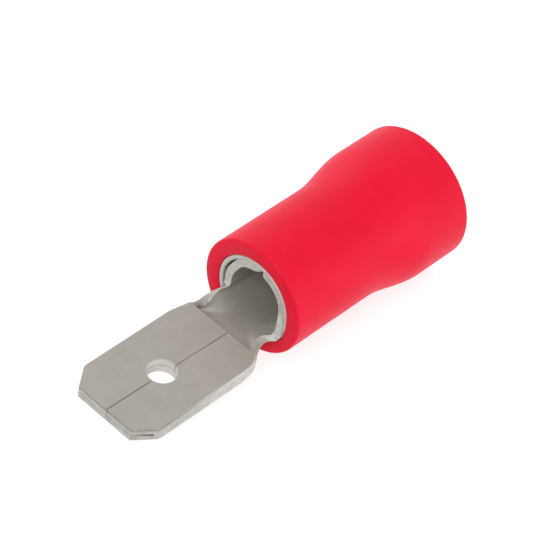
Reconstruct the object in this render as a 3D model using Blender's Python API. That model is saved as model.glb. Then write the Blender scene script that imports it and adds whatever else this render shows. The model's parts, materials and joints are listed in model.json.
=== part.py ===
"""Insulated male spade terminal: a folded tab with a rolled crimp barrel, a support tube and a PVC sleeve.

Metres, +Z up. The barrel's axis runs along +X towards the wire's entry and the tab's tip is at -X. The
origin lies under the middle of the part's length, on the plane that the lowest point of the flare touches.
"""

import math

import bmesh
import bpy
from mathutils import Vector

# Tinned brass strip
SHEET = 0.000395            # thickness of the strip
FOLD_SLIT = 0.00002         # slit left between the two layers of the tab
FOLD_MOUTH = 0.00013        # height of the slit where the tip's cut opens the folds
FOLD_MOUTH_DEPTH = 0.0006   # how far back from the cut the slit stays open
FOLD_MOUTH_WALL = 0.00012   # metal outside the open slit at the cut

# Tab
TAB_WIDTH = 0.00485
FLAP_LENGTH = 0.0075        # tip to the square ends of the two flaps
TIP_CHAMFER_LENGTH = 0.00103
TIP_CHAMFER_WIDTH = 0.00075
TIP_LEAD_HEIGHT = 0.00011   # lead-in under the tip
TIP_LEAD_LENGTH = 0.0003
TIP_BREAK = 0.00006         # broken edge on top of the tip
COINED_EDGE = 0.00007       # corner radius of the coined long edges
TAB_SEAM_FRONT = -0.000115  # the flaps meet a little to the right, more so at their ends
TAB_SEAM_REAR = -0.00027
TAB_SEAM_GAP = 0.00004
HOLE_DIAMETER = 0.00145
HOLE_FROM_TIP = 0.00349
HOLE_OFFSET = -0.00006

# Shoulder and neck between the tab and the barrel; the strip lies a little to the left in its folds
SHOULDER_LENGTH = 0.0013    # before the flaps' ends, where the coined edges become round folds
LEFT_TAPER_LENGTH = 0.0006
RIGHT_TAPER_LENGTH = 0.0006
LEFT_HALF_AT_FLAPS = 0.00239  # from the middle to the outside of the fold, at the flaps' ends
RIGHT_HALF_AT_FLAPS = 0.00214
LEFT_FOLD_OPENING = 4.0     # the higher, the sooner the fold opens behind the flap
RIGHT_FOLD_OPENING = 2.4
FOLD_LET_GO = 1.4           # above 1 for a fold that starts to open gently
LEFT_EDGE_PATH = 3.0        # 1 for an edge that runs straight in to the barrel, more to turn in late
RIGHT_EDGE_PATH = 1.0
EDGE_RISE = 1.2             # the same for the edge's way up
NECK_ROOT_RADIUS = 0.00030  # root of the slot, where the neck's edge turns up into the wing
LEFT_NECK_ANGLE = math.radians(71.0)  # from straight down to the neck's edge, at the barrel
RIGHT_NECK_ANGLE = math.radians(66.0)

# Rolled crimp barrel
BARREL_DIAMETER = 0.00364
BARREL_FROM_TIP = 0.00925
BARREL_LENGTH = 0.0060
BARREL_OFFSET = -0.00003    # the barrel lies low and to the right in the support tube
BARREL_DROP = 0.00004
BARREL_SEAM_OFFSET = -0.00006
BARREL_SEAM_GAP = 0.00005
WING_CORNER_RADIUS = 0.00038
RIGHT_WING_SETBACK = 0.00014  # the right wing's front edge lies a little further back, most near its root
RIGHT_WING_SETBACK_AT_SEAM = 0.00004
WING_SETBACK_ROOT = 0.0009  # length of edge over which the wing falls back

# The barrel, the tube and the sleeve's bore are pressed out of round at their mouth, low on the right
LOBE_REACH = 0.00020
LOBE_ANGLE = math.radians(220.0)  # from the left, over the top, about the axis
LOBE_HALF_ANGLE = math.radians(48.0)
LOBE_START_AHEAD = 0.00095  # of the barrel's front edge
LOBE_FULL_AHEAD = 0.00025
LOBE_FADE_BEHIND = 0.00015
LOBE_END_BEHIND = 0.00155

# Support tube round the barrel
TUBE_WALL = 0.00024
TUBE_LENGTH = 0.0064
TUBE_CLEARANCE = 0.00007    # between the barrel and the tube, all round if the barrel were central
TUBE_EDGE = 0.00004
TUBE_SETBACK = 0.00003      # from the sleeve's front face

# PVC sleeve
SLEEVE_FROM_TIP = 0.00915
SLEEVE_LENGTH = 0.01118
SLEEVE_DIAMETER = 0.00592
SLEEVE_FIT = 0.00002        # between the tube and the sleeve's bore
SLEEVE_FRONT_EDGE = 0.00011
SLEEVE_BORE_EDGE = 0.00007
TAPER_FROM_FRONT = 0.0055
TAPER_LENGTH = 0.0031
FLARE_DIAMETER = 0.00692
FLARE_WALL = 0.00080
FLARE_EDGE = 0.00013
FUNNEL_FROM_TUBE = 0.00025  # behind the tube's end
FUNNEL_LENGTH = 0.0024

# Smoothness of the curved forms
ROUND_SEGMENTS = 72
CORNER_STEPS = 5
FLAT_STEPS = 4
SHOULDER_STEPS = 7
NECK_STEPS = 16
WING_STEPS = 13
LOBE_STEPS = 4
HOLE_SEGMENTS = 48

# Seats worked out from the sizes above
TAB_THICKNESS = 2 * SHEET + FOLD_SLIT
TAB_HALF = TAB_WIDTH / 2
BARREL_RADIUS = BARREL_DIAMETER / 2
BARREL_BORE_RADIUS = BARREL_RADIUS - SHEET
TUBE_BORE_RADIUS = BARREL_RADIUS + TUBE_CLEARANCE
TUBE_RADIUS = TUBE_BORE_RADIUS + TUBE_WALL
SLEEVE_BORE_RADIUS = TUBE_RADIUS + SLEEVE_FIT
SLEEVE_RADIUS = SLEEVE_DIAMETER / 2
FLARE_RADIUS = FLARE_DIAMETER / 2
TIP_X = -(SLEEVE_FROM_TIP + SLEEVE_LENGTH) / 2
AXIS_Z = FLARE_RADIUS
BARREL_Z = AXIS_Z - BARREL_DROP
SHEET_BOTTOM_Z = BARREL_Z - BARREL_RADIUS
SLEEVE_X = TIP_X + SLEEVE_FROM_TIP
TUBE_X = SLEEVE_X + TUBE_SETBACK
BARREL_X = TIP_X + BARREL_FROM_TIP
BARREL_END_X = BARREL_X + BARREL_LENGTH
WING_ROOT_X = BARREL_X - NECK_ROOT_RADIUS
NECK_LENGTH = WING_ROOT_X - TIP_X - FLAP_LENGTH
SHOULDER_FROM_TIP = FLAP_LENGTH - SHOULDER_LENGTH

BRASS_COLOUR = (0.62, 0.60, 0.56, 1.0)
TUBE_COLOUR = (0.70, 0.69, 0.66, 1.0)
PVC_COLOUR = (0.80, 0.02, 0.06, 1.0)


def remove_everything():
    for item in list(bpy.data.objects):
        bpy.data.objects.remove(item, do_unlink=True)


def make_material(name, colour, roughness, metallic):
    material = bpy.data.materials.new(name)
    material.use_nodes = True
    shader = material.node_tree.nodes["Principled BSDF"]
    shader.inputs["Base Color"].default_value = colour
    shader.inputs["Roughness"].default_value = roughness
    shader.inputs["Metallic"].default_value = metallic
    material.diffuse_color = colour
    return material


def make_object(name, bm, material=None):
    """Closes a bmesh into an object of the scene, shaded smooth with its edges kept sharp."""
    bmesh.ops.recalc_face_normals(bm, faces=bm.faces)
    mesh = bpy.data.meshes.new(name)
    bm.to_mesh(mesh)
    bm.free()
    mesh.shade_smooth()
    mesh.set_sharp_from_angle(angle=math.radians(35.0))
    item = bpy.data.objects.new(name, mesh)
    bpy.context.collection.objects.link(item)
    if material:
        mesh.materials.append(material)
    return item


def ease(value):
    """Runs smoothly from 0 to 1 while the value does."""
    value = min(max(value, 0.0), 1.0)
    return value * value * (3 - 2 * value)


def blend(first, last, share):
    return first + (last - first) * share


def quarter(centre, radius, start, steps):
    """Points of a quarter circle, turning left from the start angle; the first point is left out."""
    points = []
    for step in range(1, steps + 1):
        angle = start + math.pi / 2 * step / steps
        points.append((centre[0] + radius * math.cos(angle), centre[1] + radius * math.sin(angle)))
    return points


def fold(along, side):
    """Where the fold starts, its outer radius and how far round it goes.

    The fold is coined on the tab and half round at the flaps' ends. Behind them it opens while its edge
    runs in and up to the barrel.
    """
    left = side > 0
    half_at_flaps = LEFT_HALF_AT_FLAPS if left else RIGHT_HALF_AT_FLAPS
    share = min(1.0, (along - FLAP_LENGTH) / NECK_LENGTH)
    if share <= 0:
        taper_length = LEFT_TAPER_LENGTH if left else RIGHT_TAPER_LENGTH
        taper = max(0.0, 1 - (FLAP_LENGTH - along) / taper_length)
        shoulder = ease((along - SHOULDER_FROM_TIP) / SHOULDER_LENGTH)
        radius = blend(COINED_EDGE, TAB_THICKNESS / 2, shoulder)
        return blend(TAB_HALF, half_at_flaps, taper ** 2) - radius, radius, math.pi
    last = LEFT_NECK_ANGLE if left else RIGHT_NECK_ANGLE
    opening = LEFT_FOLD_OPENING if left else RIGHT_FOLD_OPENING
    turn = blend(last, math.pi, (1 - share ** FOLD_LET_GO) ** opening)
    path = share ** (LEFT_EDGE_PATH if left else RIGHT_EDGE_PATH)
    edge_across = blend(half_at_flaps - TAB_THICKNESS / 2, BARREL_RADIUS * math.sin(last), path)
    edge_up = blend(TAB_THICKNESS, BARREL_RADIUS * (1 - math.cos(last)), share ** EDGE_RISE)
    radius = edge_up / (1 - math.cos(turn))
    return edge_across - radius * math.sin(turn), radius, turn


def section(along, side):
    """One half of the strip's section, from the middle of its underside to the neck's edge.

    Gives a list of points on the outer skin and one on the inner skin, as (across, up) from the underside.
    """
    neck_share = max(0.0, along - FLAP_LENGTH) / NECK_LENGTH
    flat, radius, turn = fold(along, side)
    lower = radius * min(turn, math.pi / 2)
    wall = TAB_THICKNESS - 2 * radius if neck_share == 0 else 0.0
    upper = radius * max(0.0, turn - math.pi / 2)
    length = lower + wall + upper

    # Where the points stand along the flat and round the bend
    chamfer = (TAB_HALF - TIP_CHAMFER_WIDTH) / (TAB_HALF - COINED_EDGE)
    flats = [chamfer * step / FLAT_STEPS for step in range(FLAT_STEPS + 1)] + [1.0]
    steps = [step / CORNER_STEPS for step in range(1, CORNER_STEPS + 1)]
    natural = [lower * step for step in steps] + [lower + wall]
    natural += [lower + wall + upper * step for step in steps]
    count = len(natural)
    evenness = ease((along - SHOULDER_FROM_TIP) / SHOULDER_LENGTH)
    flat_reach = flat
    if neck_share > 0:
        flat_reach = blend(flat, 0.45 * (flat + length), neck_share ** 2)
    stations = [flat_reach * station for station in flats]
    for step, distance in enumerate(natural, 1):
        even = flat_reach + (flat + length - flat_reach) * step / count
        stations.append(blend(flat + distance, even, evenness))

    # The inner skin of the tab turns round the end of the slit between the layers
    opening = max(0.0, 1 - along / (TIP_CHAMFER_LENGTH + FOLD_MOUTH_DEPTH))
    slit_radius = blend(FOLD_SLIT, FOLD_MOUTH, opening) / 2
    skin = blend(blend(SHEET, FOLD_MOUTH_WALL, opening), radius - slit_radius, evenness)
    slit_end = flat + radius - skin - slit_radius
    outer, inner = [], []
    for number, distance in enumerate(stations):
        if neck_share > 0 or distance <= flat + lower:
            angle = min(max(0.0, distance - flat) / radius, turn)
            place_on_skin = (min(distance, flat) + radius * math.sin(angle), radius * (1 - math.cos(angle)))
        elif distance <= flat + lower + wall:
            angle = math.pi / 2
            place_on_skin = (flat + radius, radius + distance - flat - lower)
        else:
            angle = math.pi / 2 + (distance - flat - lower - wall) / radius
            place_on_skin = (flat + radius * math.sin(angle), radius * (1 - math.cos(angle)) + wall)
        outer.append(place_on_skin)
        if neck_share > 0:
            inner.append((place_on_skin[0] - SHEET * math.sin(angle),
                          place_on_skin[1] + SHEET * math.cos(angle)))
        elif number < len(flats) - 1:
            inner.append((distance, SHEET))
        else:
            inner.append((slit_end + slit_radius * math.sin(angle),
                          TAB_THICKNESS / 2 - slit_radius * math.cos(angle)))
    return outer, inner


def tip_shift(across):
    """How far the chamfered tip is set back at a distance from the middle."""
    past = abs(across) - (TAB_HALF - TIP_CHAMFER_WIDTH)
    return max(0.0, past) * TIP_CHAMFER_LENGTH / TIP_CHAMFER_WIDTH


def lobed(point):
    """Moves a point outwards from the axis where the mouth is pressed out of round."""
    behind = point.x - BARREL_X
    rise = ease((behind + LOBE_START_AHEAD) / (LOBE_START_AHEAD - LOBE_FULL_AHEAD))
    fade = ease((LOBE_END_BEHIND - behind) / (LOBE_END_BEHIND - LOBE_FADE_BEHIND))
    outwards = Vector((0.0, point.y, point.z - AXIS_Z))
    aside = outwards.angle(Vector((0.0, math.cos(LOBE_ANGLE), math.sin(LOBE_ANGLE)))) / LOBE_HALF_ANGLE
    swelling = math.cos(min(aside, 1.0) * math.pi / 2) ** 2
    return point + outwards.normalized() * LOBE_REACH * rise * fade * swelling


def lobe_stations():
    """Places on X between which the out-of-round mouth becomes round."""
    shares = [step / LOBE_STEPS for step in range(LOBE_STEPS + 1)]
    return [BARREL_X + blend(LOBE_FADE_BEHIND, LOBE_END_BEHIND, share) for share in shares]


def place(along, across, up):
    """A point of the strip. Behind the flaps the strip drifts to the barrel's own middle."""
    drift = BARREL_OFFSET * ease((along - FLAP_LENGTH) / NECK_LENGTH)
    return lobed(Vector((TIP_X + along, across + drift, SHEET_BOTTOM_Z + up)))


class Strip:
    """The strip as a net of points, each with its place on the outer and on the inner skin."""

    def __init__(self):
        self.places = {}
        self.quads = []

    def put(self, key, outer, inner):
        self.places[key] = (outer, inner)

    def weave(self, rows):
        """Adds the quads of a net whose rows of keys run side by side."""
        for row, following in zip(rows, rows[1:]):
            for first in range(len(row) - 1):
                self.quads.append((row[first], row[first + 1], following[first + 1], following[first]))

    def solid(self):
        """Closes the two skins with a rim along every free edge."""
        bm = bmesh.new()
        outer = {key: bm.verts.new(pair[0]) for key, pair in self.places.items()}
        inner = {key: bm.verts.new(pair[1]) for key, pair in self.places.items()}
        uses = {}
        for quad in self.quads:
            bm.faces.new([outer[key] for key in quad])
            bm.faces.new([inner[key] for key in reversed(quad)])
            for first, second in zip(quad, quad[1:] + quad[:1]):
                uses.setdefault(frozenset((first, second)), []).append((first, second))
        for owners in uses.values():
            if len(owners) == 1:
                first, second = owners[0]
                bm.faces.new((outer[second], outer[first], inner[first], inner[second]))
        return bm


def tab_rows():
    """Distances of the tab's sections from the tip."""
    mouth = TIP_CHAMFER_LENGTH + FOLD_MOUTH_DEPTH
    rows = [0.0, TIP_LEAD_LENGTH, mouth, SHOULDER_FROM_TIP]
    for step in range(1, SHOULDER_STEPS + 1):
        rows.append(SHOULDER_FROM_TIP + SHOULDER_LENGTH * step / SHOULDER_STEPS)
    return rows


def tip_point(row, along, point, skin):
    """A point of the tab. The first two rows follow the chamfered outline and its lead-in."""
    across, up = point
    if row > 1:
        return along, up
    if row == 0 and skin == "outer":
        squeezed = blend(TIP_LEAD_HEIGHT, TAB_THICKNESS - TIP_BREAK, up / TAB_THICKNESS)
        return tip_shift(across), squeezed
    if row == 0:
        return tip_shift(across), up
    length = blend(TIP_LEAD_LENGTH, TIP_BREAK, up / TAB_THICKNESS)
    return tip_shift(across) + length, up


def add_flap(strip, side, rows, sections, edge_keys):
    """The flap from the fold to the middle seam, on top of the tab."""
    net = []
    for row, along in enumerate(rows):
        seam = blend(TAB_SEAM_FRONT, TAB_SEAM_REAR, along / FLAP_LENGTH) + side * TAB_SEAM_GAP / 2
        edge = sections[row][0][-1][0]
        chamfer = edge * (TAB_HALF - TIP_CHAMFER_WIDTH) / sections[0][0][-1][0]
        stops = [chamfer * side, blend(chamfer * side, seam, 0.5), seam]
        keys = [edge_keys[row]]
        for column, across in enumerate(stops, 1):
            key = ("flap", side, row, column)
            top = (across, TAB_THICKNESS)
            under = (across, TAB_THICKNESS - SHEET)
            top_along, top_up = tip_point(row, along, top, "outer")
            under_along, under_up = tip_point(row, along, under, "inner")
            strip.put(key, place(top_along, across, top_up), place(under_along, across, under_up))
            keys.append(key)
        net.append(keys)
    strip.weave(net)


def wing_front(distance, length, side):
    """Where the wing's front edge lies: round at its root, straight, then round at its corner by the seam."""
    setback = 0.0
    if side < 0:
        setback = blend(RIGHT_WING_SETBACK, RIGHT_WING_SETBACK_AT_SEAM, distance / length)
        setback *= ease(distance / WING_SETBACK_ROOT)
    if distance < NECK_ROOT_RADIUS:
        reach = math.sqrt(NECK_ROOT_RADIUS ** 2 - (NECK_ROOT_RADIUS - distance) ** 2)
        return WING_ROOT_X + reach + setback
    left = length - distance
    if left < WING_CORNER_RADIUS:
        reach = math.sqrt(WING_CORNER_RADIUS ** 2 - (WING_CORNER_RADIUS - left) ** 2)
        return BARREL_X + WING_CORNER_RADIUS - reach + setback
    return BARREL_X + setback


def wing_stops(length):
    """Distances round the wing from its root, closer together along its two rounded corners."""
    quarter_turn = [math.pi / 2 * step / CORNER_STEPS for step in range(1, CORNER_STEPS + 1)]
    root = [NECK_ROOT_RADIUS * (1 - math.cos(angle)) for angle in quarter_turn]
    corner = [length - WING_CORNER_RADIUS * (1 - math.cos(angle)) for angle in reversed(quarter_turn)]
    span = corner[0] - root[-1]
    middle = [root[-1] + span * step / WING_STEPS for step in range(1, WING_STEPS)]
    return root + middle + corner + [length]


def add_wing(strip, side, rows, root_keys):
    """The wing rolled up from the neck's edge to the seam on top of the barrel."""
    radius = BARREL_RADIUS - SHEET / 2
    start = LEFT_NECK_ANGLE if side > 0 else RIGHT_NECK_ANGLE
    seam = math.pi - side * math.asin(BARREL_SEAM_OFFSET / BARREL_RADIUS)
    length = (seam - start) * radius - BARREL_SEAM_GAP / 2
    net = [[key] for key in root_keys]
    for column, distance in enumerate(wing_stops(length), 1):
        angle = start + distance / radius
        for row, x in enumerate([wing_front(distance, length, side)] + rows):
            skins = []
            for reach in (BARREL_RADIUS, BARREL_BORE_RADIUS):
                across = BARREL_OFFSET + reach * math.sin(angle) * side
                skins.append(lobed(Vector((x, across, BARREL_Z - reach * math.cos(angle)))))
            key = ("wing", side, row, column)
            strip.put(key, *skins)
            net[row].append(key)
    strip.weave(net)


def make_terminal(material):
    strip = Strip()
    tab = tab_rows()
    neck = [FLAP_LENGTH + NECK_LENGTH * (step / NECK_STEPS) ** 1.3 for step in range(1, NECK_STEPS + 1)]
    wing_corner = BARREL_X + RIGHT_WING_SETBACK + WING_CORNER_RADIUS
    barrel = [x for x in lobe_stations() if x > wing_corner] + [BARREL_END_X]
    rows = tab + neck + [x - TIP_X for x in barrel]
    for side in (1, -1):
        sections = [section(min(along, FLAP_LENGTH + NECK_LENGTH), side) for along in rows]
        net = []
        for row, along in enumerate(rows):
            keys = []
            for column, skins in enumerate(zip(*sections[row])):
                places = []
                for skin, point in zip(("outer", "inner"), skins):
                    reach, up = tip_point(row, along, point, skin)
                    places.append(place(reach, point[0] * side, up))
                key = ("core", row, column * side)
                strip.put(key, *places)
                keys.append(key)
            net.append(keys)
        strip.weave(net)
        add_flap(strip, side, tab, sections, [keys[-1] for keys in net])
        wing_roots = [keys[-1] for keys in net[len(tab) + len(neck) - 1:]]
        add_wing(strip, side, barrel, wing_roots)
    terminal = make_object("terminal", strip.solid(), material)

    bm = bmesh.new()
    bmesh.ops.create_cone(bm, cap_ends=True, segments=HOLE_SEGMENTS, radius1=HOLE_DIAMETER / 2,
                          radius2=HOLE_DIAMETER / 2, depth=4 * TAB_THICKNESS)
    cutter = make_object("tab_hole_cutter", bm)
    cutter.location = place(HOLE_FROM_TIP, HOLE_OFFSET, TAB_THICKNESS / 2)
    cutter.hide_render = True
    cutter.display_type = "WIRE"
    cut = terminal.modifiers.new("tab_hole", "BOOLEAN")
    cut.object = cutter
    cut.operation = "DIFFERENCE"
    cut.solver = "EXACT"
    return terminal


def revolve(name, profile, material):
    """Spins a closed outline of (x, radius) points about the barrel's axis."""
    bm = bmesh.new()
    ring = [bm.verts.new((x, 0.0, AXIS_Z + radius)) for x, radius in profile]
    edges = [bm.edges.new((first, second)) for first, second in zip(ring, ring[1:] + ring[:1])]
    bmesh.ops.spin(bm, geom=ring + edges, cent=(0.0, 0.0, AXIS_Z), axis=(1.0, 0.0, 0.0),
                   angle=2 * math.pi, steps=ROUND_SEGMENTS, use_merge=True)
    bmesh.ops.remove_doubles(bm, verts=bm.verts, dist=TUBE_EDGE / 100)
    for vert in bm.verts:
        if math.hypot(vert.co.y, vert.co.z - AXIS_Z) < SLEEVE_BORE_RADIUS + 2 * SLEEVE_BORE_EDGE:
            vert.co = lobed(vert.co)
    return make_object(name, bm, material)


def make_tube(material):
    front, rear = TUBE_X, TUBE_X + TUBE_LENGTH
    stations = lobe_stations()
    profile = [(front, TUBE_BORE_RADIUS + TUBE_EDGE), (front, TUBE_RADIUS - TUBE_EDGE),
               (front + TUBE_EDGE, TUBE_RADIUS)]
    profile += [(x, TUBE_RADIUS) for x in stations]
    profile += [(rear - TUBE_EDGE, TUBE_RADIUS), (rear, TUBE_RADIUS - TUBE_EDGE),
                (rear, TUBE_BORE_RADIUS + TUBE_EDGE), (rear - TUBE_EDGE, TUBE_BORE_RADIUS)]
    profile += [(x, TUBE_BORE_RADIUS) for x in reversed(stations)]
    profile.append((front + TUBE_EDGE, TUBE_BORE_RADIUS))
    return revolve("support_tube", profile, material)


def swell(start, end, first, last, steps):
    """Points of an S-shaped taper from one radius to another; the first point is left out."""
    return [(blend(start, end, step / steps), blend(first, last, ease(step / steps)))
            for step in range(1, steps + 1)]


def make_sleeve(material):
    front, rear = SLEEVE_X, SLEEVE_X + SLEEVE_LENGTH
    taper = front + TAPER_FROM_FRONT
    funnel = TUBE_X + TUBE_LENGTH + FUNNEL_FROM_TUBE
    mouth = FLARE_RADIUS - FLARE_WALL
    outer_edge, bore_edge, rim = SLEEVE_FRONT_EDGE, SLEEVE_BORE_EDGE, FLARE_EDGE

    # Round the outside from the front face to the rear face, then back through the funnel and the bore
    profile = [(front, SLEEVE_RADIUS - outer_edge)]
    nose = quarter((front + outer_edge, SLEEVE_RADIUS - outer_edge), outer_edge, math.pi / 2, 4)
    profile += reversed(nose[:-1])
    profile += [(front + outer_edge, SLEEVE_RADIUS), (taper, SLEEVE_RADIUS)]
    profile += swell(taper, taper + TAPER_LENGTH, SLEEVE_RADIUS, FLARE_RADIUS, 10)
    profile.append((rear - rim, FLARE_RADIUS))
    rim_out = quarter((rear - rim, FLARE_RADIUS - rim), rim, 0.0, 4)
    profile += reversed(rim_out[:-1])
    profile.append((rear, FLARE_RADIUS - rim))
    profile.append((rear, mouth + rim))
    rim_in = quarter((rear - rim, mouth + rim), rim, -math.pi / 2, 4)
    profile += reversed(rim_in[:-1])
    profile += [(rear - rim, mouth), (funnel + FUNNEL_LENGTH, mouth)]
    profile += swell(funnel + FUNNEL_LENGTH, funnel, mouth, SLEEVE_BORE_RADIUS, 8)
    profile += [(x, SLEEVE_BORE_RADIUS) for x in reversed(lobe_stations())]
    profile.append((front + bore_edge, SLEEVE_BORE_RADIUS))
    profile.append((front + bore_edge / 3, SLEEVE_BORE_RADIUS + bore_edge / 3))
    profile.append((front, SLEEVE_BORE_RADIUS + bore_edge))
    return revolve("insulation_sleeve", profile, material)


def main():
    remove_everything()
    make_terminal(make_material("tinned_brass", BRASS_COLOUR, 0.38, 1.0))
    make_tube(make_material("tinned_copper", TUBE_COLOUR, 0.35, 1.0))
    make_sleeve(make_material("red_pvc", PVC_COLOUR, 0.42, 0.0))


main()
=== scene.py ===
"""Insulated male spade terminal, dressed: dull tinned strip and tube, and a satin red PVC sleeve."""
import json
import math

import bmesh
import bpy
from mathutils import Euler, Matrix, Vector

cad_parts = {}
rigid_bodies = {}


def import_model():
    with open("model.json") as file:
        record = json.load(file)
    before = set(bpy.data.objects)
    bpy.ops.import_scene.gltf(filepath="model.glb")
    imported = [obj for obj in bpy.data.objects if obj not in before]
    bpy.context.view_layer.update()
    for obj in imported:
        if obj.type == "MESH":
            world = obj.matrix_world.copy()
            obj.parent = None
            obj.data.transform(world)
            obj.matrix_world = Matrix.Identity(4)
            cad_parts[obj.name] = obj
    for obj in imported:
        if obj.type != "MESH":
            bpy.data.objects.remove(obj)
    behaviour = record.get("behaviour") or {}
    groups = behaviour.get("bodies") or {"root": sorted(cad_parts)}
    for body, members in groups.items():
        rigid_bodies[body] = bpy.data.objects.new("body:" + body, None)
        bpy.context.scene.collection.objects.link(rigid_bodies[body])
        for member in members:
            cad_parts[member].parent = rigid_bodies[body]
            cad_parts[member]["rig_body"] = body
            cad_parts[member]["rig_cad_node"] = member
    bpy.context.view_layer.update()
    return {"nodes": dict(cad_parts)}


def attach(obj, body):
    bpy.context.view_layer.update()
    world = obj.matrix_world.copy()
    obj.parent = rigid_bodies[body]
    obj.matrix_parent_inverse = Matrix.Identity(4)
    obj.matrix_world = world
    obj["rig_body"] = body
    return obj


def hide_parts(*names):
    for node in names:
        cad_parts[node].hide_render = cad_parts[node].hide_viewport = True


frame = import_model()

# The photograph's camera
CAMERA_PLACE = Vector((-0.07244, -0.053084, 0.095443))
CAMERA_TURN = Euler((0.76876, -0.13472, -0.80332), "XYZ")
FOCAL_LENGTH = 183.27
SENSOR_WIDTH = 36.0
CLIP_START = 0.005
CLIP_END = 5.0

# Where things lie on the terminal, in metres
FLAPS_END = -0.002665
BARREL_FRONT = -0.000915
BARREL_AXIS = (-0.00003, 0.00342)    # across and up
BARREL_OFFSET = (0.00003, 0.00004)   # from the barrel's axis to the tube's, across and up
BARREL_CLEARANCE = 0.00006
HOLE_CENTRE = (-0.006675, -0.00006)
HOLE_RADIUS = 0.000725

# Smooth shading
MERGE = 1e-7
SMOOTH_ANGLE = math.radians(35.0)

# Folds of the neck
FOLDS_START = FLAPS_END + 0.0001
FOLDS_END = BARREL_FRONT - 0.00005
FOLD_SMOOTHING = 0.5
FOLD_PASSES = 10

# Near edge of the neck. Four values say where a form starts, is full from, is full to and ends.
NEAR_SIDE = (0.0007, 0.0013)
NEAR_EDGE_DROP = 0.00030
NEAR_EDGE_ALONG = (FLAPS_END, FLAPS_END + 0.0007, BARREL_FRONT + 0.0002, BARREL_FRONT + 0.0008)
NEAR_EDGE_UP = (0.0019, 0.00285, 0.00285, 0.0036)
NEAR_FOOT_SPREAD = 0.0002
NEAR_FOOT_ADVANCE = 0.0002
NEAR_FOOT_ALONG = (BARREL_FRONT - 0.0007, BARREL_FRONT - 0.0003,
                   BARREL_FRONT + 0.00015, BARREL_FRONT + 0.0006)
NEAR_FOOT_UP = (0.0020, 0.0026, 0.0030, 0.0036)
NEAR_FOOT_ADVANCED = (BARREL_FRONT - 0.00045, BARREL_FRONT + 0.0001)

# Far edge of the neck
FAR_SIDE = 0.0009
FAR_CORNER_SIDE = 0.001
FAR_CORNER_END = BARREL_FRONT + 0.0003
FAR_CORNER_FACING = 0.6
FAR_EDGE_LIFT = Vector((0.0, 0.00006, 0.00015))
FAR_EDGE_ALONG = (FLAPS_END + 0.0006, FLAPS_END + 0.0012, BARREL_FRONT - 0.0004, BARREL_FRONT)
FAR_EDGE_FADE = (0.0001, 0.0007)

# Mouth of the barrel, in degrees from the bottom towards the near side
MOUTH = (70.0, 90.0, 290.0, 310.0)
CRESCENT = (216.0, 240.0, 275.0, 295.0)
MOUTH_ALONG = (BARREL_FRONT - 0.0003, BARREL_FRONT - 0.00005, BARREL_FRONT + 0.0004, BARREL_FRONT + 0.0015)

# Colours
PLATE_DARK = (0.37, 0.353, 0.313)
PLATE_LIGHT = (0.40, 0.382, 0.34)
ROLLING_LINES = (0.34, 0.323, 0.285)
# Cut edges: bare sheared metal, their lighter tone partly a painted highlight
EDGE_DULL = (0.44, 0.425, 0.385)
EDGE_SHEARED_HIGHLIGHT = (0.70, 0.685, 0.645)
# Darker, blotched band on the upper part of the cut edges towards the tip
EDGE_TOP_DARKENING = (0.17, 0.155, 0.125)
# Hole wall: partly burnished sheared metal, partly a painted reflection of the bright floor
HOLE_SHEARED_AND_REFLECTION = (0.72, 0.70, 0.655)
TUBE_DARK = (0.54, 0.525, 0.49)
TUBE_LIGHT = (0.60, 0.585, 0.55)
PVC_DARK = (0.81, 0.005, 0.032)
PVC_LIGHT = (0.85, 0.007, 0.036)
PVC_SHEEN = (1.0, 0.35, 0.5)

# Studio
FLOOR_SIZE = 1.2
FLOOR_GREY = (0.5, 0.5, 0.5, 1.0)
WHITE = (1.0, 1.0, 1.0, 1.0)
WORLD_LIGHT = (0.55, 1.0)   # on diffuse surfaces, and for the camera and in gloss
FLOOR_LIGHT = (0.3, 0.72)
# Name, place, size and watts
LAMPS = (
    ("back_left", (0.04, 0.34, 0.20), 0.3, 0.54),
    ("front_right", (0.08, -0.38, 0.08), 0.3, 0.57),
    ("front_high", (-0.26, -0.10, 0.30), 0.2, 0.55),
)


def mm(length):
    return 1000.0 * length


class Flow:
    """A shader value or colour that takes part in Python's arithmetic."""

    def __init__(self, tree, socket):
        self.tree = tree
        self.socket = socket

    def maths(self, operation, *others):
        return self.tree.node("ShaderNodeMath", {"operation": operation}, (self,) + others)

    def __add__(self, other):
        return self.maths("ADD", other)

    __radd__ = __add__

    def __mul__(self, other):
        return self.maths("MULTIPLY", other)

    __rmul__ = __mul__

    def __sub__(self, other):
        return self.maths("SUBTRACT", other)

    def __rsub__(self, other):
        return self.tree.node("ShaderNodeMath", {"operation": "SUBTRACT"}, (other, self))

    def __truediv__(self, other):
        return self.maths("DIVIDE", other)

    def over(self, low, high):
        """0 below low and 1 above high, smooth between them."""
        inputs = {"Value": self, "From Min": low, "From Max": high}
        return self.tree.node("ShaderNodeMapRange", {"interpolation_type": "SMOOTHSTEP"}, inputs)


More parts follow.
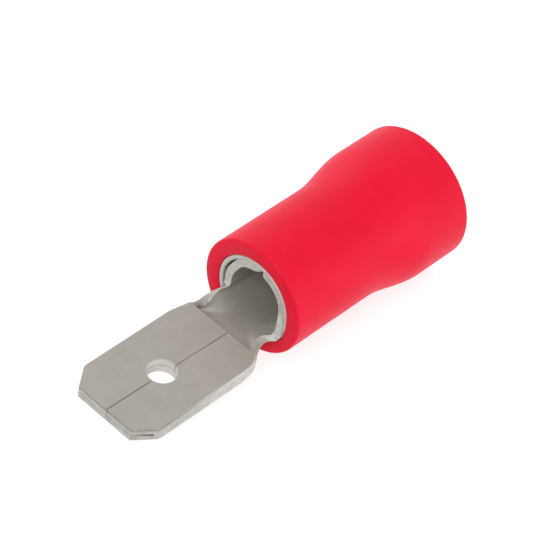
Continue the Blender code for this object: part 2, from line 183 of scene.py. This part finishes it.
class Finish:
    """One material, built on the Principled shader that Blender gives it."""

    def __init__(self, name):
        self.material = bpy.data.materials.new(name)
        self.material.use_nodes = True
        self.nodes = self.material.node_tree.nodes
        self.links = self.material.node_tree.links
        self.shader = self.nodes["Principled BSDF"]

    def set_input(self, socket, value):
        if isinstance(value, Flow):
            self.links.new(value.socket, socket)
        elif socket.type == "RGBA":
            socket.default_value = (*value, 1.0)
        else:
            socket.default_value = value

    def node(self, kind, settings=None, inputs=(), output=0):
        """Adds a node, its settings first and then the values or links of its sockets."""
        node = self.nodes.new(kind)
        for name, value in (settings or {}).items():
            setattr(node, name, value)
        pairs = inputs.items() if isinstance(inputs, dict) else enumerate(inputs)
        for key, value in pairs:
            if isinstance(key, int):
                socket = node.inputs[key]
            else:
                socket = next(item for item in node.inputs if item.name == key and item.enabled)
            self.set_input(socket, value)
        outputs = [item for item in node.outputs if item.enabled]
        chosen = outputs[output] if isinstance(output, int) else node.outputs[output]
        return Flow(self, chosen)

    def place(self, scale=(1, 1, 1)):
        """Object coordinates in millimetres, scaled."""
        coordinate = self.node("ShaderNodeTexCoord", output="Object")
        inputs = {"Vector": coordinate, "Scale": tuple(mm(value) for value in scale)}
        return self.node("ShaderNodeMapping", {}, inputs)

    def facing(self):
        """How squarely the surface faces along X, along Y and along Z, each from -1 to 1."""
        return self.components(self.node("ShaderNodeTexCoord", output="Normal"))

    def components(self, vector):
        return [self.node("ShaderNodeSeparateXYZ", {}, (vector,), output=axis) for axis in range(3)]

    def noise(self, place, scale, detail=3.0, roughness=0.55):
        inputs = {"Vector": place, "Scale": scale, "Detail": detail, "Roughness": roughness}
        return self.node("ShaderNodeTexNoise", {}, inputs)

    def mix(self, share, first, second):
        """Colour between first and second."""
        node = self.nodes.new("ShaderNodeMix")
        node.data_type = "RGBA"
        sockets = [item for item in node.inputs if item.enabled]
        for socket, value in zip(sockets, (share, first, second)):
            self.set_input(socket, value)
        return Flow(self, next(item for item in node.outputs if item.enabled))

    def bump(self, height, distance, strength):
        inputs = {"Height": height, "Distance": distance, "Strength": strength}
        return self.node("ShaderNodeBump", {}, inputs)

    def surface(self, **inputs):
        for name, value in inputs.items():
            self.set_input(self.shader.inputs[name.replace("_", " ")], value)


def cut_edges(metal):
    """1 on the strip's cut edges: its fronts, the sides and seams of the tab, and the wings of the neck."""
    along, across, up = metal.facing()
    x, y, z = metal.components(metal.place())
    fronts = (-1 * along).over(0.5, 0.8)
    on_tab = 1 - x.over(mm(FLAPS_END) - 0.4, mm(FLAPS_END) + 0.4)
    sides = (1 - (up * up).over(0.3, 0.7)) * on_tab
    y = y - mm(BARREL_AXIS[0])
    z = z - mm(BARREL_AXIS[1])
    outwards = (across * y + up * z) / (y * y + z * z).maths("SQRT")
    on_neck = x.over(mm(FLAPS_END) + 0.6, mm(BARREL_FRONT) - 0.3)
    on_neck = on_neck * (1 - x.over(mm(BARREL_FRONT) + 0.3, mm(BARREL_FRONT) + 0.4))
    wings = (1 - (outwards * outwards).over(0.3, 0.6)) * on_neck
    return fronts.maths("MAXIMUM", sides).maths("MAXIMUM", wings)


def hole_wall(metal):
    """1 on the wall of the tab's hole."""
    x, y, _ = metal.components(metal.place())
    x = x - mm(HOLE_CENTRE[0])
    y = y - mm(HOLE_CENTRE[1])
    up = metal.facing()[2]
    from_centre = (x * x + y * y).maths("SQRT")
    near = 1 - from_centre.over(mm(HOLE_RADIUS) + 0.04, mm(HOLE_RADIUS) + 0.07)
    return near * (1 - (up * up).over(0.2, 0.5))


def tinned_strip():
    """Dull tin plate, a little warm, with rolling lines along the strip, lighter blotched cut edges that
    are partly a painted highlight, a darker band on their upper part towards the tip, and a hole wall that
    is partly a painted reflection.
    """
    metal = Finish("dull_tin_plate")
    at = metal.place()
    x, _, z = metal.components(at)
    lines = metal.noise(metal.place(scale=(0.22, 7.0, 7.0)), 1.0, detail=4.0)
    clouds = metal.noise(at, 0.8)
    grain = metal.noise(at, 22.0, detail=2.0)
    tone = metal.mix(clouds.over(0.3, 0.7), PLATE_DARK, PLATE_LIGHT)
    tone = metal.mix(lines.over(0.45, 0.75) * 0.3, tone, ROLLING_LINES)
    blotches = metal.noise(metal.place(scale=(0.8, 1.0, 1.6)), 3.5, detail=4.0, roughness=0.65)
    blotches = blotches.over(0.38, 0.62)
    # The cut edges get a lighter tone, partly bare sheared metal and partly a painted highlight, brighter
    # towards the barrel
    edges = cut_edges(metal)
    edge_tone_and_highlight = metal.mix(x.over(-9.8, -3.5) * 0.5 + blotches * 0.5, EDGE_DULL, EDGE_SHEARED_HIGHLIGHT)
    tone = metal.mix(edges * 0.85, tone, edge_tone_and_highlight)
    # A darker, blotched band on the upper part of the cut edges towards the tip
    top_edge_darkening = z.over(2.20, 2.32) * (1 - x.over(-8.5, -5.0)) * edges
    tone = metal.mix(top_edge_darkening * (0.35 + 0.4 * blotches), tone, EDGE_TOP_DARKENING)
    # Lightens the hole's wall: partly burnished sheared metal, partly a painted reflection of the bright
    # floor
    tone = metal.mix(hole_wall(metal) * 0.9, tone, HOLE_SHEARED_AND_REFLECTION)
    metal.surface(Base_Color=tone, Metallic=0.35, Roughness=0.56 + 0.06 * clouds + 0.05 * grain,
                  Specular_IOR_Level=0.3, Normal=metal.bump(lines * 0.5 + grain * 0.5, 0.000005, 0.4))
    return metal.material


def tube_plate():
    """The support tube's plate, a little whiter."""
    metal = Finish("bright_tin_plate")
    at = metal.place()
    clouds = metal.noise(at, 1.4)
    tone = metal.mix(clouds.over(0.3, 0.7), TUBE_DARK, TUBE_LIGHT)
    metal.surface(Base_Color=tone, Metallic=0.35, Roughness=0.5 + 0.1 * clouds, Specular_IOR_Level=0.3,
                  Normal=metal.bump(metal.noise(at, 20.0), 0.000004, 0.5))
    return metal.material


def red_pvc():
    """Satin red PVC, with the faint unevenness of a moulded wall."""
    plastic = Finish("satin_red_pvc")
    at = plastic.place()
    clouds = plastic.noise(at, 0.5, detail=2.0)
    grain = plastic.noise(at, 14.0)
    tone = plastic.mix(clouds.over(0.3, 0.7), PVC_DARK, PVC_LIGHT)
    plastic.surface(Base_Color=tone, Roughness=0.46 + 0.08 * grain, Specular_IOR_Level=0.15,
                    Sheen_Weight=0.22, Sheen_Roughness=0.35, Sheen_Tint=PVC_SHEEN,
                    Normal=plastic.bump(clouds * 0.7 + grain * 0.3, 0.00001, 0.35))
    return plastic.material


def select_only(piece):
    bpy.ops.object.select_all(action="DESELECT")
    piece.select_set(True)
    bpy.context.view_layer.objects.active = piece


def ease(value, low, high):
    """0 below low and 1 above high, smooth between them."""
    share = min(max((value - low) / (high - low), 0.0), 1.0)
    return share * share * (3 - 2 * share)


def window(value, rise_from, rise_to, fall_from, fall_to):
    """1 between the two middle values, and smoothly 0 outside."""
    return ease(value, rise_from, rise_to) * (1 - ease(value, fall_from, fall_to))


def soften_neck(piece):
    """Takes the creases out of the opening folds, between the flaps and the barrel."""
    select_only(piece)
    bpy.ops.object.mode_set(mode="EDIT")
    bpy.ops.mesh.select_all(action="DESELECT")
    bpy.ops.mesh.select_mode(type="VERT")
    mesh = bmesh.from_edit_mesh(piece.data)
    for vert in mesh.verts:
        sharp = any(edge.calc_face_angle(0.0) > SMOOTH_ANGLE for edge in vert.link_edges)
        vert.select = not sharp and FOLDS_START < vert.co.x < FOLDS_END
    mesh.select_flush_mode()
    bmesh.update_edit_mesh(piece.data)
    bpy.ops.mesh.vertices_smooth(factor=FOLD_SMOOTHING, repeat=FOLD_PASSES)
    bpy.ops.object.mode_set(mode="OBJECT")


def lower_near_edge(piece):
    """Lowers the near edge of the neck and spreads the foot of the near wing over the tube's rim."""
    for vert in piece.data.vertices:
        x, y, z = vert.co
        near = ease(-y, *NEAR_SIDE)
        vert.co.z -= NEAR_EDGE_DROP * near * window(x, *NEAR_EDGE_ALONG) * window(z, *NEAR_EDGE_UP)
        foot = near * window(x, *NEAR_FOOT_ALONG) * window(z, *NEAR_FOOT_UP)
        vert.co.y -= NEAR_FOOT_SPREAD * foot
        vert.co.x -= NEAR_FOOT_ADVANCE * foot * ease(x, *NEAR_FOOT_ADVANCED)


def far_corners(piece):
    """Points on the inner and on the outer corner of the neck's far edge."""
    mesh = bmesh.new()
    mesh.from_mesh(piece.data)
    inner = []
    outer = []
    for edge in mesh.edges:
        start, end = (vert.co.copy() for vert in edge.verts)
        if edge.calc_face_angle(0.0) < SMOOTH_ANGLE or start.y < FAR_CORNER_SIDE:
            continue
        if not FLAPS_END < start.x < FAR_CORNER_END:
            continue
        middle = (start + end) / 2
        to_axis = Vector((0.0, BARREL_AXIS[0] - middle.y, BARREL_AXIS[1] - middle.z)).normalized()
        facing = [face.normal.dot(to_axis) for face in edge.link_faces]
        if max(facing) > FAR_CORNER_FACING:
            inner += [start, middle, end]
        elif min(facing) < -FAR_CORNER_FACING:
            outer += [start, middle, end]
    mesh.free()
    return inner, outer


def narrow_far_edge(piece):
    """Draws the inner corner of the neck's far edge up and out towards the outer corner."""
    inner, outer = far_corners(piece)
    for vert in piece.data.vertices:
        along = window(vert.co.x, *FAR_EDGE_ALONG)
        if vert.co.y < FAR_SIDE or along == 0.0:
            continue
        from_inner = min((vert.co - point).length for point in inner)
        from_outer = min((vert.co - point).length for point in outer)
        share = from_outer / (from_inner + from_outer + MERGE) * (1 - ease(from_inner, *FAR_EDGE_FADE))
        vert.co += FAR_EDGE_LIFT * share * along


def seat_mouth(piece):
    """Seats the mouth of the barrel in the support tube, but for a crescent at the upper left."""
    for vert in piece.data.vertices:
        along = window(vert.co.x, *MOUTH_ALONG)
        y = vert.co.y - BARREL_AXIS[0]
        z = vert.co.z - BARREL_AXIS[1]
        reach = math.hypot(y, z)
        angle = math.degrees(math.atan2(-y, -z)) % 360.0
        gap = BARREL_CLEARANCE + BARREL_OFFSET[0] * y / reach + BARREL_OFFSET[1] * z / reach
        gap *= window(angle, *MOUTH) * (1 - window(angle, *CRESCENT))
        scale = 1 + gap * along / reach
        vert.co.y = BARREL_AXIS[0] + y * scale
        vert.co.z = BARREL_AXIS[1] + z * scale


def finished_copy(node, name, material, shape=()):
    """A welded, smooth-shaded copy of a solid, which stands for it."""
    select_only(frame["nodes"][node])
    bpy.ops.object.duplicate()
    piece = bpy.context.object
    piece.name = name
    del piece["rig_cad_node"]
    del piece["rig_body"]
    bpy.ops.object.mode_set(mode="EDIT")
    bpy.ops.mesh.select_all(action="SELECT")
    bpy.ops.mesh.remove_doubles(threshold=MERGE)
    bpy.ops.object.mode_set(mode="OBJECT")
    for step in shape:
        step(piece)
    bpy.ops.object.shade_smooth_by_angle(angle=SMOOTH_ANGLE)
    flats = piece.modifiers.new("even_flats", "WEIGHTED_NORMAL")
    flats.keep_sharp = True
    bpy.ops.object.modifier_apply(modifier=flats.name)
    piece.data.materials.clear()
    piece.data.materials.append(material)
    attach(piece, "root")
    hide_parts(node)


def add_camera():
    camera = bpy.data.cameras.new("photo_camera")
    camera.lens = FOCAL_LENGTH
    camera.sensor_width = SENSOR_WIDTH
    camera.clip_start = CLIP_START
    camera.clip_end = CLIP_END
    item = bpy.data.objects.new("photo_camera", camera)
    item.location = CAMERA_PLACE
    item.rotation_euler = CAMERA_TURN
    bpy.context.scene.collection.objects.link(item)
    bpy.context.scene.camera = item


def add_lamp(name, place, size, watts):
    """A round lamp that points at the object."""
    lamp = bpy.data.lights.new(name, "AREA")
    lamp.shape = "DISK"
    lamp.size = size
    lamp.energy = watts
    item = bpy.data.objects.new(name, lamp)
    item.location = place
    item.rotation_euler = (-Vector(place)).to_track_quat("-Z", "Y").to_euler()
    bpy.context.scene.collection.objects.link(item)


def light_for_camera(nodes, links, elsewhere, seen):
    """One strength where the camera, gloss or glass looks, and another elsewhere."""
    path = nodes.new("ShaderNodeLightPath")
    first = nodes.new("ShaderNodeMath")
    first.operation = "MAXIMUM"
    links.new(path.outputs["Is Camera Ray"], first.inputs[0])
    links.new(path.outputs["Is Glossy Ray"], first.inputs[1])
    second = nodes.new("ShaderNodeMath")
    second.operation = "MAXIMUM"
    links.new(first.outputs[0], second.inputs[0])
    links.new(path.outputs["Is Transmission Ray"], second.inputs[1])
    spread = nodes.new("ShaderNodeMapRange")
    spread.inputs["To Min"].default_value = elsewhere
    spread.inputs["To Max"].default_value = seen
    links.new(second.outputs[0], spread.inputs["Value"])
    return spread.outputs["Result"]


def add_backdrop():
    world = bpy.data.worlds.new("studio")
    bpy.context.scene.world = world
    world.use_nodes = True
    nodes, links = world.node_tree.nodes, world.node_tree.links
    background = nodes["Background"]
    background.inputs["Color"].default_value = WHITE
    links.new(light_for_camera(nodes, links, *WORLD_LIGHT), background.inputs["Strength"])


def add_floor():
    bpy.ops.object.select_all(action="DESELECT")
    bpy.ops.mesh.primitive_plane_add(size=FLOOR_SIZE, location=(0, 0, 0))
    floor = bpy.context.object
    floor.name = "floor"
    material = bpy.data.materials.new("white_floor")
    material.use_nodes = True
    nodes, links = material.node_tree.nodes, material.node_tree.links
    shader = nodes["Principled BSDF"]
    shader.inputs["Base Color"].default_value = FLOOR_GREY
    shader.inputs["Roughness"].default_value = 1.0
    shader.inputs["Specular IOR Level"].default_value = 0.0
    shader.inputs["Emission Color"].default_value = WHITE
    links.new(light_for_camera(nodes, links, *FLOOR_LIGHT), shader.inputs["Emission Strength"])
    floor.data.materials.append(material)


finished_copy("terminal", "tinned_terminal", tinned_strip(),
              (soften_neck, lower_near_edge, narrow_far_edge, seat_mouth))
finished_copy("support_tube", "tinned_support_tube", tube_plate())
finished_copy("insulation_sleeve", "red_sleeve", red_pvc())
add_camera()
add_backdrop()
add_floor()
for lamp in LAMPS:
    add_lamp(*lamp)

bpy.context.scene.view_settings.view_transform = "Standard"
